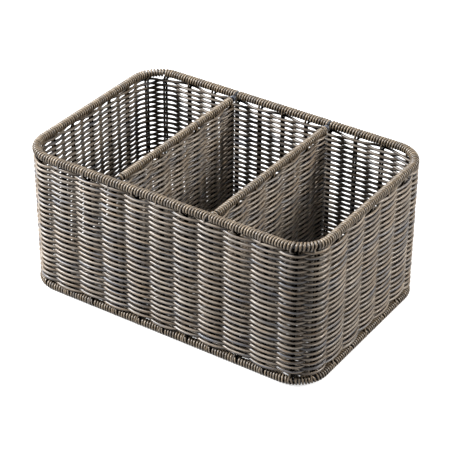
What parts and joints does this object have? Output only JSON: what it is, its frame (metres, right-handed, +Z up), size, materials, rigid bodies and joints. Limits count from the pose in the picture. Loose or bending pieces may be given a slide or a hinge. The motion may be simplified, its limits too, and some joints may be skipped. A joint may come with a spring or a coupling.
{
  "type": "cutlery basket",
  "caption": "Woven cane cutlery basket, a rounded rectangle open at the top, with wrapped rims and woven dividers across its width that part it into compartments.",
  "frame": {"origin": "under the middle of the base, on the surface that the basket stands on", "axes": "+X along the long side, +Y from the front long wall to the back one, +Z up"},
  "size_m": [0.3, 0.197, 0.14],
  "materials": {
    "weave_cane": "satin two-tone grey-brown cane with fine lengthwise streaks",
    "wrap_cane": "satin two-tone grey-brown cane, wound closely",
    "stake_cane": "satin dark brown cane",
    "tie_cane": "satin dark grey-brown cane",
    "frame_wire": "black coated steel wire"
  },
  "bodies": {
    "root": {"top_ring_rod": "frame_wire", "base_ring_rod": "frame_wire", "rim_wrap_front": "wrap_cane", "rim_wrap_right": "wrap_cane", "rim_wrap_back": "wrap_cane", "rim_wrap_left": "wrap_cane", "base_wrap_right": "wrap_cane", "base_wrap_left": "wrap_cane", "wall_weave": "weave_cane", "base_weave": "weave_cane", "divider_weave_left": "weave_cane", "divider_weave_right": "weave_cane", "divider_frame_left": "frame_wire", "divider_frame_right": "frame_wire", "divider_bar_wrap_left": "wrap_cane", "divider_bar_wrap_right": "wrap_cane", "bar_tie_left_front": "tie_cane", "bar_tie_left_back": "tie_cane", "bar_tie_right_front": "tie_cane", "bar_tie_right_back": "tie_cane", "wall_stake_01": "stake_cane", "wall_stake_02": "stake_cane", "wall_stake_03": "stake_cane", "wall_stake_04": "stake_cane", "wall_stake_05": "stake_cane", "wall_stake_06": "stake_cane", "wall_stake_07": "stake_cane", "wall_stake_08": "stake_cane", "wall_stake_09": "stake_cane", "wall_stake_10": "stake_cane", "wall_stake_11": "stake_cane", "wall_stake_12": "stake_cane", "wall_stake_13": "stake_cane", "wall_stake_14": "stake_cane", "wall_stake_15": "stake_cane", "wall_stake_16": "stake_cane", "wall_stake_17": "stake_cane", "wall_stake_18": "stake_cane", "wall_stake_19": "stake_cane", "wall_stake_20": "stake_cane", "wall_stake_21": "stake_cane", "wall_stake_22": "stake_cane", "wall_stake_23": "stake_cane", "wall_stake_24": "stake_cane", "wall_stake_25": "stake_cane", "wall_stake_26": "stake_cane", "wall_stake_27": "stake_cane", "wall_stake_28": "stake_cane", "wall_stake_29": "stake_cane", "wall_stake_30": "stake_cane", "wall_stake_31": "stake_cane", "wall_stake_32": "stake_cane", "wall_stake_33": "stake_cane", "wall_stake_34": "stake_cane", "wall_stake_35": "stake_cane", "wall_stake_36": "stake_cane"}
  },
  "joints": []
}
